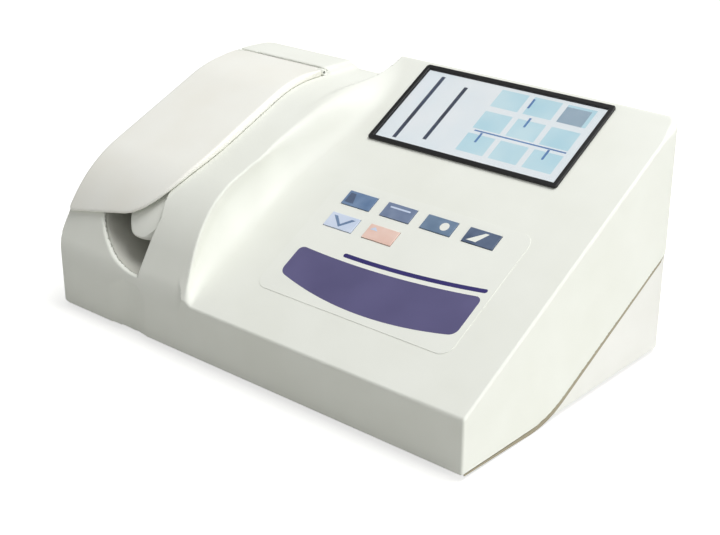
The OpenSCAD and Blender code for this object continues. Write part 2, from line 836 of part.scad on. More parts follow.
module lamp_housing() color("#3a3d42") {
    translate([beam_x - lamp_w / 2, lamp_y - lamp_d / 2, bed_top]) difference() {
        cube([lamp_w, lamp_d, lamp_h]);
        translate([wall, wall, wall]) cube([lamp_w - 2 * wall, lamp_d - 2 * wall, lamp_h]);
        translate([lamp_w / 2, -1, beam_z - bed_top]) rotate([-90, 0, 0]) cylinder(r = lamp_hole, h = wall + 2);
    }
    translate([beam_x, lamp_y, bed_top + 2]) cylinder(r = lamp_hole, h = socket_h);
}

module lamp() color("#dfe6ea") {
    bulb_h = beam_z - bed_top - socket_h + 1;
    translate([beam_x, lamp_y, bed_top + socket_h + 2]) {
        cylinder(r = bulb_r + 0.5, h = bulb_r);
        cylinder(r = bulb_r, h = bulb_h);
        translate([0, 0, bulb_h]) sphere(r = bulb_r);
    }
}

module condenser_lens() color("#cfd9de") {
    translate([beam_x, lens_y, beam_z]) {
        rotate([-90, 0, 0]) cylinder(r = 6.5, h = 8);
        translate([-5, 1, bed_top - beam_z]) cube([10, 6, beam_z - bed_top - 6]);
    }
}

module filter_wheel() color("#24262a") {
    translate([wheel_x, wheel_y, beam_z]) rotate([-90, 0, 0]) difference() {
        union() {
            cylinder(r = wheel_r, h = wheel_t);
            translate([0, 0, -3]) cylinder(r = 5, h = 3.5);
        }
        for (i = [0 : filter_n - 1]) rotate(i * 360 / filter_n) translate([wheel_off, 0, -1])
            cylinder(r = filter_r, h = wheel_t + 2);
        translate([0, 0, -4]) cylinder(r = wheel_shaft_r, h = 20);
    }
}

module filters() color("#b58fd0") {
    translate([wheel_x, wheel_y, beam_z]) rotate([-90, 0, 0]) for (i = [0 : filter_n - 1])
        rotate(i * 360 / filter_n) translate([wheel_off, 0, 0.5]) cylinder(r = filter_r, h = wheel_t - 1);
}

module wheel_motor() color("#6d7176") {
    translate([wheel_x, wheel_y - 4, beam_z]) {
        translate([0, -14, 0]) rotate([-90, 0, 0]) cylinder(r = 9, h = 14);
        translate([0, -1, 0]) rotate([-90, 0, 0]) cylinder(r = wheel_shaft_r - 0.05, h = wheel_t + 5);
        translate([-9, -12, bed_top - beam_z]) cube([18, 10, beam_z - bed_top - 4]);
    }
}

module cell_holder() color("#7b8086") {
    translate([beam_x, cell_y, bed_top]) difference() {
        translate([-10, -9, 0]) cube([20, 18, holder_h]);
        translate([-5, -5, 20]) cube([10, 10, 60]);
        translate([0, -20, beam_z - bed_top]) rotate([-90, 0, 0]) cylinder(r = 2.5, h = 40);
    }
}

module flow_cell() color("#bfe0ea") {
    translate([beam_x, cell_y, bed_top + 20]) difference() {
        translate([-4.9, -4.9, 0]) cube([9.8, 9.8, 38]);
        translate([0, 0, 3]) cylinder(r = 1, h = 60);
    }
}

module detector_board() color("#2d6a45") {
    translate([beam_x, detect_y, bed_top]) {
        translate([-13, -board_t, 0]) cube([26, board_t, holder_h - 2]);
        translate([0, 0, beam_z - bed_top]) rotate([-90, 0, 0]) cylinder(r = 4, h = 4);
    }
}

module pump_motor() color("#8b8f93") {
    translate([pump_x, pump_y, z_floor]) {
        cylinder(r = pump_motor_r, h = pump_z - z_floor);
        cylinder(r = pump_shaft_r, h = pump_z - z_floor + pump_head_h - 3);
    }
}

module pump_head() color("#eceee8") {
    translate([pump_x, pump_y, pump_z]) difference() {
        cylinder(r = pump_head_r, h = pump_head_h);
        translate([0, 0, 3]) cylinder(r = pump_bore_r, h = pump_head_h);
        translate([0, 0, -1]) cylinder(r = pump_shaft_r + 1, h = 10);
        for (x = [-1, 1]) translate([x * pump_port, 0, 7]) rotate([90, 0, 0]) cylinder(r = 2, h = 40);
    }
}

module pump_rotor() color("#4b5056") {
    translate([pump_x, pump_y, pump_z + 3.6]) difference() {
        union() {
            cylinder(r = 6, h = pump_head_h - 4);
            cylinder(r = roller_ring + 2.5, h = 1.2);
            for (i = [0 : roller_n - 1])
                rotate(i * 360 / roller_n) translate([roller_ring, 0, 0]) cylinder(r = roller_pin_r, h = 8.5);
        }
        translate([0, 0, -1]) cylinder(r = pump_shaft_r + 0.05, h = pump_head_h - 5);
    }
}

module pump_rollers() color("#e9ebe9") {
    for (i = [0 : roller_n - 1]) translate([pump_x, pump_y, pump_z + 5]) rotate(i * 360 / roller_n)
        translate([roller_ring, 0, 0]) difference() {
            cylinder(r = roller_r, h = 6.5);
            translate([0, 0, -1]) cylinder(r = roller_pin_r, h = 10);
        }
}

// Round tube through a list of points
module tube(points) {
    for (i = [0 : len(points) - 2]) {
        a = points[i];
        d = points[i + 1] - a;
        l = norm(d);
        translate(a) rotate([0, acos(d[2] / l), atan2(d[1], d[0])]) cylinder(r = tube_r, h = l);
        if (i > 0) translate(a) sphere(r = tube_r + bend_swell);
    }
}

module probe_tube() color("#e3e6e2") {
    z = probe_z1;
    tube([[turret_x, turret_y, z], [turret_x, y_front + niche_d + 8, z],
        [beam_x - 6, y_front + niche_d + 30, z - 6], [beam_x, cell_y, bed_top + 70],
        [beam_x, cell_y, bed_top + 58]]);
}

module cell_tube() color("#e3e6e2") {
    tube([[beam_x - 10 - 0.8 * tube_r, cell_y, bed_top + 44], [pump_x + pump_port, pump_y - 32, pump_z + 7],
        [pump_x + pump_port, pump_y - 20, pump_z + 7]]);
}

module waste_tube() color("#e3e6e2") {
    x = pump_x - pump_port;
    tube([[x, pump_y - 20, pump_z + 7], [x - 3, pump_y - 30, pump_z + 5], [x - 14, pump_y - 32, pump_z - 10],
        [waste_x, base_back - 12, waste_z]]);
}

module waste_fitting() color("#c9ccc8") {
    translate([waste_x, base_back - 12, waste_z]) rotate([-90, 0, 0]) difference() {
        union() {
            cylinder(r = 3.9, h = 15);
            cylinder(r = 6.5, h = 12);
        }
        translate([0, 0, 3]) cylinder(r = 1.4, h = 40);
    }
}

module printer_frame() color("#9da1a4") {
    h = foot_h + deck_z - wall - frame_z0 - 2;
    difference() {
        union() {
            translate([frame_x0 - frame_t, frame_front, frame_z0])
                cube([frame_x1 - frame_x0 + 2 * frame_t, y_back - wall - frame_front, frame_t]);
            for (x = [frame_x0 - frame_t, frame_x1]) {
                translate([x, frame_front, frame_z0]) cube([frame_t, 28, roll_z - frame_z0 + 8]);
                translate([x, roll_y + 12, frame_z0]) cube([frame_t, y_back - wall - roll_y - 12, h]);
            }
        }
        translate([frame_x0 - 10, roll_y, roll_z]) rotate([0, 90, 0]) cylinder(r = spindle_r + pin_clear, h = 100);
        translate([frame_x0 - 10, platen_y, platen_z])
            rotate([0, 90, 0]) cylinder(r = platen_shaft_r + pin_clear, h = 100);
    }
}

module print_head() color("#3b3e42") {
    translate([frame_x0, platen_y + platen_r + slack, platen_z - 10]) cube([frame_x1 - frame_x0, 8, 18]);
}

module platen_roller() color("#2b2c2e") {
    translate([frame_x0, platen_y, platen_z]) rotate([0, 90, 0]) {
        translate([0, 0, 1]) cylinder(r = platen_r, h = frame_x1 - frame_x0 - 2);
        translate([0, 0, -frame_t]) cylinder(r = platen_shaft_r, h = frame_x1 - frame_x0 + 2 * frame_t);
    }
}

module paper_spindle() color("#caccc9") {
    translate([frame_x0 - frame_t, roll_y, roll_z]) rotate([0, 90, 0])
        cylinder(r = spindle_r, h = frame_x1 - frame_x0 + 2 * frame_t);
}

module paper_roll() color("#fbfbf6") {
    translate([roll_x - roll_w / 2, roll_y, roll_z]) rotate([0, 90, 0]) difference() {
        cylinder(r = roll_r, h = roll_w);
        translate([0, 0, -1]) cylinder(r = spindle_r + 0.1, h = roll_w + 2);
    }
}

module feet() color("#2c2d2f") {
    for (p = foot_list) translate([p[0], p[1], 0]) difference() {
        cylinder(r = foot_r, h = foot_h);
        translate([0, 0, -1]) cylinder(r = 3, h = 3);
    }
}

module case_screws() color("#aeb1b4") {
    for (p = boss_list) translate([p[0], p[1], foot_h - 0.5]) {
        cylinder(r = screw_head_r, h = screw_head_h);
        cylinder(r = screw_r, h = screw_l);
    }
}

upper_housing();
base_tray();
seam_strip();
rear_panel();
lid();
hinge_pins();
niche_liner();
probe_turret();
aspiration_probe();
aspirate_plate();
aspirate_switch();
screen_bezel();
touch_glass();
lcd_module();
keypad_overlay();
key(0, "#5f7a9e");  // key_1
key(1, "#6b7a99");  // key_2
key(2, "#5d7590");  // key_3
key(3, "#4a5a75");  // key_4
key(4, "#c5d3ea");  // key_5
key(5, "#e8c4b5");  // key_6
keypad_board();
main_board();
power_supply();
mains_inlet();
switch_frame();
power_rocker();
serial_port();
data_port();
fan_frame();
fan_rotor();
optics_bed();
lamp_housing();
lamp();
condenser_lens();
filter_wheel();
filters();
wheel_motor();
cell_holder();
flow_cell();
detector_board();
pump_motor();
pump_head();
pump_rotor();
pump_rollers();
probe_tube();
cell_tube();
waste_tube();
waste_fitting();
printer_frame();
print_head();
platen_roller();
paper_spindle();
paper_roll();
feet();
case_screws();
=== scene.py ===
"""Looks of a bench-top semi-automatic chemistry analyzer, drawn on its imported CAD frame.

Shapes are worked out in millimetres in the CAD frame: x to the right, y to the back, z up, with the
origin on the bench under the middle of the case. A mesh is turned to metres when it is made.
"""
import enum
import logging
import math
from collections.abc import Callable, Sequence
from dataclasses import dataclass

import bpy
import numpy as np
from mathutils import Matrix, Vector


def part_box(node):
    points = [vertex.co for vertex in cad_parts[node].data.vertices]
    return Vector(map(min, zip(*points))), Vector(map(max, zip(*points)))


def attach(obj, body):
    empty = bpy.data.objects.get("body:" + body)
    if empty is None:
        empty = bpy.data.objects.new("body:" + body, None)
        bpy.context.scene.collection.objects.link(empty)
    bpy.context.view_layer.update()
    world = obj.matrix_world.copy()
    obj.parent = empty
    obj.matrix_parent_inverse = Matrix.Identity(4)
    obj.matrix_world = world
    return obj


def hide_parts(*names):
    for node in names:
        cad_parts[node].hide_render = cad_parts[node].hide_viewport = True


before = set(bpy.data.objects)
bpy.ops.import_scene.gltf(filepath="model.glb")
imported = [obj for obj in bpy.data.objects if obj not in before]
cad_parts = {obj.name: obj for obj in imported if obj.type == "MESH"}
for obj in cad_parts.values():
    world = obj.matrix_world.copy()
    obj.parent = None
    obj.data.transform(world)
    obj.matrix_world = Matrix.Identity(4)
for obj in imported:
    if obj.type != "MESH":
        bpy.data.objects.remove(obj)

LOG = logging.getLogger("analyzer")
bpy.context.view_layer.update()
MM = 0.001
Array = np.ndarray
FieldFn = Callable[[Array, Array, Array], Array]


# ---------------------------------------------------------------- finishes

def linear(code: str) -> tuple[float, float, float, float]:
    """Turns an sRGB colour into the linear one that shaders mix.

    Args:
        code: colour as "#rrggbb".

    Returns:
        Linear red, green, blue and an alpha of 1.
    """
    parts = [int(code[i:i + 2], 16) / 255 for i in (1, 3, 5)]
    red, green, blue = (p / 12.92 if p <= 0.04045 else ((p + 0.055) / 1.055) ** 2.4 for p in parts)
    return red, green, blue, 1.0


def add_node(tree: bpy.types.NodeTree, kind: str, values: dict | None = None,
             feeds: dict | None = None, **settings: object) -> bpy.types.Node:
    """Adds one node with its settings, constants and links.

    Args:
        tree: node tree that gets the node.
        kind: Blender's type name of the node.
        values: constants by input socket.
        feeds: output sockets to link, by input socket.
        settings: attributes of the node itself.

    Returns:
        The new node.
    """
    made = tree.nodes.new(kind)
    for name, value in settings.items():
        setattr(made, name, value)
    for key, value in (values or {}).items():
        made.inputs[key].default_value = value
    for key, source in (feeds or {}).items():
        tree.links.new(source, made.inputs[key])
    return made


class Grain(enum.Enum):
    """How a surface is broken up, as the stretch of its specks along x, y and z."""

    SPECK = (1.0, 1.0, 1.0)
    ALONG_X = (0.04, 1.0, 1.0)
    ALONG_Z = (1.0, 1.0, 0.04)


@dataclass(frozen=True)
class Finish:
    """A real material together with how its surface was made.

    Sizes of grain, relief and drift are real ones in millimetres.
    """

    name: str
    tone: str
    drift: str
    rough: float
    grain: Grain = Grain.SPECK
    grain_mm: float = 0.7
    relief_mm: float = 0.01
    drift_mm: float = 45.0
    metallic: float = 0.0
    ior: float = 1.5
    clear: float = 0.0
    coat: float = 0.0
    glow: float = 0.0

    def material(self) -> bpy.types.Material:
        """Makes the material, or gives back the one made before.

        Returns:
            The material.
        """
        known = bpy.data.materials.get(self.name)
        if known:
            return known
        made = bpy.data.materials.new(self.name)
        made.use_nodes = True
        tree = made.node_tree
        shader = tree.nodes["Principled BSDF"]
        place = add_node(tree, "ShaderNodeTexCoord").outputs["Object"]
        lie = add_node(tree, "ShaderNodeMapping", {"Scale": self.grain.value}, {"Vector": place})
        speck, cloud = (add_node(tree, "ShaderNodeTexNoise", {"Scale": 1000 / size, "Detail": 2.0},
                                 {"Vector": lie.outputs["Vector"]}).outputs["Fac"]
                        for size in (self.grain_mm, self.drift_mm))
        share = add_node(tree, "ShaderNodeMapRange", {"From Min": 0.3, "From Max": 0.7},
                         {"Value": cloud})
        mix = add_node(tree, "ShaderNodeMix", feeds={0: share.outputs["Result"]}, data_type="RGBA")
        mix.inputs[6].default_value = linear(self.tone)
        mix.inputs[7].default_value = linear(self.drift)
        rough = add_node(tree, "ShaderNodeMapRange",
                         {"From Min": 0.3, "From Max": 0.7, "To Min": max(self.rough - 0.06, 0.02),
                          "To Max": min(self.rough + 0.06, 1.0)}, {"Value": speck})
        bump = add_node(tree, "ShaderNodeBump", {"Strength": 0.6, "Distance": self.relief_mm * MM},
                        {"Height": speck})
        links = {"Emission Color" if self.glow else "Base Color": mix.outputs[2],
                 "Roughness": rough.outputs["Result"], "Normal": bump.outputs["Normal"]}
        plain = {"Metallic": self.metallic, "Transmission Weight": self.clear,
                 "Coat Weight": self.coat, "Emission Strength": self.glow}
        if self.glow:
            # A lit panel is dark by itself, so the room's light does not bleach its picture.
            shader.inputs["Base Color"].default_value = linear("#1c1f24")
        if not self.metallic:
            plain["IOR"] = self.ior
        for key, source in links.items():
            tree.links.new(source, shader.inputs[key])
        for key, value in plain.items():
            shader.inputs[key].default_value = value
        return made


# Spark-eroded moulds leave a fine matt speck on the case: no mirror image, a soft broad sheen.
CASE_ABS = Finish("ABS spark-eroded moulded off-white", "#eef0e8", "#eaece3", 0.52, relief_mm=0.02)
BASE_ABS = Finish("ABS spark-eroded moulded base white", "#efefea", "#ebebe5", 0.52, relief_mm=0.02)
# The lid's mould is polished: the same plastic a little smoother, with a satin highlight.
LID_ABS = Finish("ABS satin moulded lid white", "#f5f5ee", "#f2f1e8", 0.34, relief_mm=0.008)
# Painted shade: the niche's liner and trigger plate are greyer than the case, so that the grey stands for
# the shade deep in the niche.
NICHE_SHADE_GREY_ABS = Finish("ABS moulded grey as painted niche shade", "#c9c9c0", "#c2c2b9", 0.5)
# The same tan-grey also paints the shadow in the joint's gap, on the bands along both sides.
SEAM_TPE_AND_SHADE = Finish("TPE extruded tan-grey strip and painted seam shadow", "#a79f88", "#9d957f", 0.75, grain_mm=0.4)
# Powder coat flows into a slight orange peel, coarser than a moulded speck.
POWDER_COAT = Finish("powder-coated steel sheet light grey", "#d3d3cd", "#cdcdc7", 0.45, grain_mm=1.2,
                     relief_mm=0.03)
# Drawn stainless keeps fine lines the way it was pulled, so highlights stretch.
DRAWN_STEEL = Finish("stainless steel drawn", "#c4c6c8", "#b8babd", 0.28, Grain.ALONG_Z, 0.25, 0.004,
                     metallic=1.0)
SHEET_STEEL = Finish("zinc-plated steel folded", "#bcbfc1", "#adb1b4", 0.38, Grain.ALONG_X, 0.5, 0.004,
                     metallic=1.0)
PLATED_CAN = Finish("nickel-plated steel can", "#9da1a4", "#8f9396", 0.32, Grain.ALONG_Z, 0.4, 0.004,
                    metallic=1.0)
ANODISED = Finish("aluminium bead-blasted black anodised", "#44474b", "#3b3e42", 0.5, grain_mm=0.3,
                  metallic=1.0)
BLACK_SATIN = Finish("ABS satin moulded black", "#0b0b0c", "#101012", 0.38, relief_mm=0.003)
BLACK_MATT = Finish("PA66 glass-filled moulded black", "#1b1b1d", "#232326", 0.55)
RUBBER = Finish("nitrile rubber ground black", "#202022", "#2a2a2c", 0.8, grain_mm=0.4, relief_mm=0.03)
FOOT_RUBBER = Finish("polyurethane rubber moulded foot", "#262628", "#303032", 0.7, grain_mm=0.5)
# Chemically toughened cover glass: flat, clear, a faint mirror of the room.
COVER_GLASS = Finish("glass float-drawn cover", "#f4f8fa", "#f1f6f8", 0.05, grain_mm=30, relief_mm=0.0005,
                     ior=1.52, clear=1.0)
OPTIC_GLASS = Finish("glass polished optical", "#eef5f7", "#e9f1f4", 0.05, grain_mm=20, relief_mm=0.0005,
                     ior=1.52, clear=0.9)
FILTER_GLASS = Finish("glass coated interference filter", "#8f6fb8", "#5f9ac0", 0.08, grain_mm=20,
                      relief_mm=0.0005, drift_mm=16, ior=1.52, clear=0.5)
SILICONE = Finish("silicone extruded translucent tube", "#dfe2de", "#d5d9d4", 0.4, Grain.ALONG_Z, 0.6,
                  ior=1.41, clear=0.35)
ACETAL = Finish("acetal moulded white", "#e9eae5", "#e2e4de", 0.4)
PAPER = Finish("paper thermal-coated wound", "#f4f3ee", "#e9e8e1", 0.7, Grain.ALONG_X, 0.35, 0.02,
               drift_mm=3.0)
SOLDER_MASK = Finish("epoxy solder mask green over copper", "#23583a", "#2f6b46", 0.4, Grain.ALONG_X, 1.6,
                     0.03, drift_mm=4.0, coat=0.3)
LCD_CASE = Finish("LCD module steel frame painted", "#34383d", "#2b2f33", 0.45, relief_mm=0.005)
# Polyester membrane, printed on its back: a matt hard coat over clean flat colour.
# The same white also paints the highlight spot on key 3.
FILM_WHITE_AND_GLINT = Finish("polyester film hard-coated white print", "#eff1e9", "#ebede5", 0.5, grain_mm=0.3,
                    relief_mm=0.004)
FILM_VIOLET = Finish("polyester film hard-coated violet print", "#56527b", "#5f5b85", 0.42, grain_mm=0.3,
                     relief_mm=0.004)
FILM_INDIGO = Finish("polyester film hard-coated indigo print", "#2c2468", "#332b70", 0.42, grain_mm=0.3,
                     relief_mm=0.004)
KEY_INKS = tuple(
    Finish(f"polyester film embossed key {name}", tone, drift, 0.4, grain_mm=0.3, relief_mm=0.004,
           drift_mm=14)
    for name, tone, drift in (
        ("slate blue", "#5f7a9e", "#7c93b3"), ("slate", "#6b7a99", "#8493ad"),
        ("blue grey", "#5d7590", "#768ca6"), ("dark slate", "#4a5a75", "#61718c"),
        ("pale blue", "#c5d3ea", "#d5dff0"), ("peach", "#e8c4b5", "#efd3c7")))
SCREEN_WHITE, SCREEN_CYAN, SCREEN_BLUE, SCREEN_DARK, SCREEN_GREY = (
    Finish(f"LCD lit pixels {name}", tone, drift, 0.4, grain_mm=0.3, relief_mm=0.0, drift_mm=30, glow=0.92)
    for name, tone, drift in (
        ("white", "#fbfcfd", "#f4f9fc"), ("cyan", "#d6f0f7", "#c0e5f1"), ("blue", "#5d8fc4", "#4777b4"),
        ("dark", "#1d2033", "#34405c"), ("grey", "#8fa6b8", "#a9bccb")))


# ---------------------------------------------------------------- meshes

def round_both(a: Array, b: Array, r: Array | float) -> Array:
    """Field of what lies in both shapes, their meeting edge rounded outward.

    Args:
        a: signed distance to one shape, negative inside.
        b: signed distance to the other.
        r: radius of the edge.

    Returns:
        The joined field.
    """
    return np.minimum(-r, np.maximum(a, b)) + np.hypot(np.maximum(a + r, 0), np.maximum(b + r, 0))


def round_union(a: Array, b: Array, r: Array | float) -> Array:
    """Field of both shapes together, the inner corner filled with a fillet.

    Args:
        a: signed distance to one shape, negative inside.
        b: signed distance to the other.
        r: radius of the fillet.

    Returns:
        The joined field.
    """
    return -round_both(-a, -b, r)


def ramp(start: float, stop: float, value: Array) -> Array:
    """Smooth step from 0 at start to 1 at stop.

    Args:
        start: value where it leaves 0.
        stop: value where it reaches 1.
        value: where it is asked for.

    Returns:
        The step's height.
    """
    t = np.clip((value - start) / (stop - start), 0, 1)
    return t * t * (3 - 2 * t)


def slab(value: Array, low: float, high: float) -> Array:
    """Signed distance to the space between two planes.

    Args:
        value: coordinate across the planes.
        low: lower plane.
        high: upper plane.

    Returns:
        The field.
    """
    return np.maximum(low - value, value - high)


def stations(*spans: tuple[float, float, float]) -> Array:
    """Grid lines with a different step in each span.

    Args:
        spans: start, stop and step of each span, in order.

    Returns:
        The lines' places.
    """
    parts = [np.linspace(a, b, max(round((b - a) / step), 1), endpoint=False) for a, b, step in spans]
    return np.concatenate([*parts, [spans[-1][1]]])


@dataclass
class Skin:
    """Closed skin of a field, drawn on a grid of uneven steps."""

    xs: Array
    ys: Array
    zs: Array

    def draw(self, shape: FieldFn) -> tuple[Array, Array, Array]:
        """Finds the skin and settles its points on the field's zero.

        Args:
            shape: the field, negative inside.

        Returns:
            Points, four-cornered faces and normals.
        """
        lines = (self.xs, self.ys, self.zs)
        value = shape(self.xs[:, None, None], self.ys[None, :, None], self.zs[None, None, :])
        value = np.broadcast_to(value, tuple(map(len, lines))).astype(np.float32)
        inside = value < 0
        count = sum(inside[i:inside.shape[0] - 1 + i, j:inside.shape[1] - 1 + j,
                           k:inside.shape[2] - 1 + k].astype(np.int8)
                    for i in (0, 1) for j in (0, 1) for k in (0, 1))
        active = (count > 0) & (count < 8)
        cells = np.argwhere(active)
        number = np.full(active.shape, -1, np.int64)
        number[active] = np.arange(len(cells))
        points = self._middle(cells, value, lines)
        faces = self._faces(inside, number)
        low = np.array([line[cells[:, d]] for d, line in enumerate(lines)]).T
        high = np.array([line[cells[:, d] + 1] for d, line in enumerate(lines)]).T
        for _ in range(5):
            f, g = self._slope(shape, points)
            step = f / np.maximum((g * g).sum(1), 0.05)
            points = np.clip(points - step[:, None] * g, low, high)
        normal = self._slope(shape, points)[1]
        return points, faces, normal / np.maximum(np.linalg.norm(normal, axis=1), 1e-9)[:, None]

    @staticmethod
    def _middle(cells: Array, value: Array, lines: Sequence[Array]) -> Array:
        """Mean of the places where the skin crosses a cell's edges.

        Args:
            cells: index of each cell that the skin passes.
            value: the field on the grid.
            lines: the grid's lines.

        Returns:
            One point for each cell.
        """
        total = np.zeros((len(cells), 3))
        hits = np.zeros(len(cells))
        corners = [np.array((i, j, k)) for i in (0, 1) for j in (0, 1) for k in (0, 1)]
        for a in corners:
            for b in corners:
                if (b - a).min() < 0 or (b - a).sum() != 1:
                    continue
                ia, ib = cells + a, cells + b
                va, vb = value[tuple(ia.T)], value[tuple(ib.T)]
                cross = (va < 0) != (vb < 0)
                t = np.where(cross, va / np.where(cross, va - vb, 1), 0)[:, None]
                pa, pb = (np.array([line[i[:, d]] for d, line in enumerate(lines)]).T for i in (ia, ib))
                total += np.where(cross[:, None], pa + t * (pb - pa), 0)
                hits += cross
        return total / hits[:, None]

    @staticmethod
    def _faces(inside: Array, number: Array) -> Array:
        """Joins the points round each grid edge that the skin crosses.

        Args:
            inside: True where the grid point is in the shape.
            number: index of the point in each cell.

        Returns:
            Faces turned outward.
        """
        made = []
        for d in range(3):
            u, v = (d + 1) % 3, (d + 2) % 3
            turned = np.moveaxis(inside, (d, u, v), (0, 1, 2))
            cell = np.moveaxis(number, (d, u, v), (0, 1, 2))
            change = turned[1:, 1:-1, 1:-1] != turned[:-1, 1:-1, 1:-1]
            i, j, k = np.nonzero(change)
            ring = np.stack([cell[i, j, k], cell[i, j + 1, k], cell[i, j + 1, k + 1], cell[i, j, k + 1]], 1)
            out = turned[i, j + 1, k + 1]
            made.append(np.where(out[:, None], ring, ring[:, ::-1]))
        return np.concatenate(made)

    @staticmethod
    def _slope(shape: FieldFn, points: Array) -> tuple[Array, Array]:
        """Value and gradient of the field.

        Args:
            shape: the field.
            points: where it is asked for.

        Returns:
            Value and gradient at each point.
        """
        h = 0.02
        sides = [[shape(*(points + sign * h * np.eye(3)[d]).T) for sign in (1, -1)] for d in range(3)]
        return shape(*points.T), np.array([(up - low) / (2 * h) for up, low in sides]).T


def make_piece(name: str, points: Array, faces: Sequence, finishes: Sequence[Finish], body: str,
               stands_for: Sequence[str] = (), normals: Array | None = None,
               picks: Sequence[int] | None = None) -> bpy.types.Object:
    """Makes a piece that rides a CAD body.

    Args:
        name: the piece's name.
        points: corners in millimetres.
        faces: corner numbers of each face.
        finishes: what it is made of.
        body: CAD body it rides.
        stands_for: CAD nodes it takes the place of.
        normals: one normal for each corner, for a smooth skin.
        picks: finish number of each face.

    Returns:
        The new object.
    """
    mesh = bpy.data.meshes.new(name)
    mesh.from_pydata((np.asarray(points) * MM).tolist(), [], [list(map(int, f)) for f in faces])
    for finish in finishes:
        mesh.materials.append(finish.material())
    if picks is not None:
        mesh.polygons.foreach_set("material_index", list(picks))
    mesh.polygons.foreach_set("use_smooth", [normals is not None] * len(mesh.polygons))
    mesh.update()
    if normals is not None:
        mesh.normals_split_custom_set_from_vertices(normals.tolist())
    made = bpy.data.objects.new(name, mesh)
    bpy.context.scene.collection.objects.link(made)
    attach(made, body)
    if stands_for:
        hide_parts(*stands_for)
    LOG.info("%s: %d faces on %s", name, len(faces), body)
    return made


def soften(piece: bpy.types.Object, round_mm: float) -> None:
    """Welds a mesh, rounds its sharp edges and evens its shading.

    Args:
        piece: the object.
        round_mm: radius of the edges.
    """
    weld = piece.modifiers.new("weld", "WELD")
    weld.merge_threshold = 0.00001
    if round_mm:
        bevel = piece.modifiers.new("edge", "BEVEL")
        bevel.width = round_mm * MM
        bevel.segments = 3
        bevel.limit_method = "ANGLE"
        bevel.angle_limit = math.radians(35)
        bevel.harden_normals = False
    even = piece.modifiers.new("even", "WEIGHTED_NORMAL")
    even.keep_sharp = True


def dress(names: str, finish: Finish, round_mm: float = 0.25) -> None:
    """Gives CAD nodes a finish and rounded edges.

    Args:
        names: node names with spaces between.
        finish: what they are made of.
        round_mm: radius of their sharp edges, 0 for none.
    """
    for name in names.split():
        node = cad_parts[name]
        node.data.materials.clear()
        node.data.materials.append(finish.material())
        node.data.polygons.foreach_set("use_smooth", [True] * len(node.data.polygons))
        soften(node, round_mm)
        LOG.info("%s: %s", name, finish.name)


# ---------------------------------------------------------------- the case's shape

